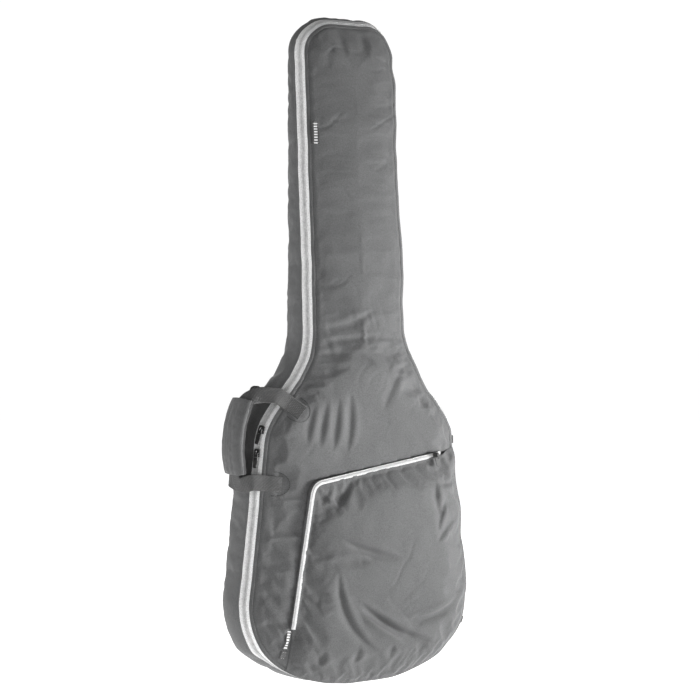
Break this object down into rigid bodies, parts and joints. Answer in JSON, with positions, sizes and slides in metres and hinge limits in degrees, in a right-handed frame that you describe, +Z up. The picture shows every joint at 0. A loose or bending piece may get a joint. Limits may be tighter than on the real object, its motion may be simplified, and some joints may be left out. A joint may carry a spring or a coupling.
{
  "type": "padded gig bag",
  "caption": "Padded classical guitar gig bag with a full-length side zip, carrying handle, hanging loop, front pocket and backpack straps.",
  "frame": {"origin": "middle of the hanging loop's underside, where a hook bears", "axes": "+Z up along the bag from bottom to head, front with the pocket towards -Y, carrying handle on the -X side"},
  "size_m": [0.427, 0.1665, 1.07],
  "materials": {
    "shell": "grey coated polyester weave",
    "gusset": "grey coated polyester weave",
    "foam": "closed-cell padding",
    "lining": "thin lining cloth",
    "zip_tape": "light grey woven tape",
    "zip_coil": "nylon coil",
    "webbing": "woven polypropylene webbing",
    "metal": "dark zinc",
    "label": "blank woven label",
    "plastic": "moulded acetal"
  },
  "bodies": {
    "root": {"back_panel": "shell", "back_foam": "foam", "back_lining": "lining", "side_gusset": "gusset", "gusset_foam": "foam", "gusset_lining": "lining", "back_seam_binding": "lining", "zip_tape_rear": "zip_tape", "zip_coil_rear": "zip_coil", "sewn_side_strip": "gusset", "zip_end_tab_upper": "webbing", "zip_end_tab_lower": "webbing", "handle_loop_back": "webbing", "hang_loop": "webbing", "strap_yoke": "shell", "shoulder_strap_left": "shell", "shoulder_strap_right": "shell", "strap_webbing_left": "webbing", "strap_webbing_right": "webbing", "strap_anchor_left": "webbing", "strap_anchor_right": "webbing"},
    "adjuster_left": {"strap_adjuster_left": "plastic"},
    "adjuster_right": {"strap_adjuster_right": "plastic"},
    "front_cover": {"front_panel": "shell", "front_foam": "foam", "front_lining": "lining", "front_seam_binding": "lining", "zip_tape_front": "zip_tape", "zip_coil_front": "zip_coil", "handle_loop_front": "webbing", "handle_wrap": "shell", "pocket_panel": "shell", "pocket_wall": "gusset", "neck_label": "label", "pocket_label": "label", "pocket_zip_end_tab": "webbing"},
    "flap": {"pocket_flap": "shell", "pocket_zip_tape": "zip_tape", "pocket_zip_coil": "zip_tape"},
    "slider_upper": {"main_slider_upper": "metal"},
    "pull_upper": {"main_pull_upper": "metal"},
    "slider_lower": {"main_slider_lower": "metal"},
    "pull_lower": {"main_pull_lower": "metal"},
    "slider_pocket": {"pocket_slider": "metal"},
    "pull_pocket": {"pocket_pull": "metal"}
  },
  "joints": [
    {"name": "cover_hinge", "type": "hinge", "parent": "root", "child": "front_cover", "pos_m": [0.1975, -0.106, -0.894], "axis": [-0.1023, 0, 0.9948], "range_deg": [0, 170]},
    {"name": "pocket_flap_hinge", "type": "hinge", "parent": "front_cover", "child": "flap", "pos_m": [-0.1256, -0.1405, -0.93433], "axis": [0.7147, 0, 0.6994], "range_deg": [0, 110]},
    {"name": "upper_slider_slide", "type": "slide", "parent": "front_cover", "child": "slider_upper", "axis": [0.281, 0, 0.9597], "range_m": [0, 0.012]},
    {"name": "upper_pull_swing", "type": "hinge", "parent": "slider_upper", "child": "pull_upper", "pos_m": [-0.17397, -0.10089, -0.62618], "axis": [-0.4799, 0.866, 0.1405], "range_deg": [0, 120]},
    {"name": "lower_slider_slide", "type": "slide", "parent": "front_cover", "child": "slider_lower", "axis": [-0.1023, 0, -0.9948], "range_m": [0, 0.18]},
    {"name": "lower_pull_swing", "type": "hinge", "parent": "slider_lower", "child": "pull_lower", "pos_m": [-0.18107, -0.10089, -0.6623], "axis": [-0.4974, 0.866, 0.0511], "range_deg": [0, 120]},
    {"name": "pocket_slider_slide", "type": "slide", "parent": "flap", "child": "slider_pocket", "axis": [-0.9867, -0.0315, -0.1595], "range_m": [0, 0.17]},
    {"name": "pocket_pull_swing", "type": "hinge", "parent": "slider_pocket", "child": "pull_pocket", "pos_m": [0.1229, -0.13417, -0.67537], "axis": [-0.9867, -0.0315, -0.1595], "range_deg": [0, 120]},
    {"name": "left_adjuster_slide", "type": "slide", "parent": "root", "child": "adjuster_left", "axis": [-0.2294, -0.079, -0.9701], "range_m": [0, 0.07]},
    {"name": "right_adjuster_slide", "type": "slide", "parent": "root", "child": "adjuster_right", "axis": [0.2294, -0.079, -0.9701], "range_m": [0, 0.07]}
  ]
}
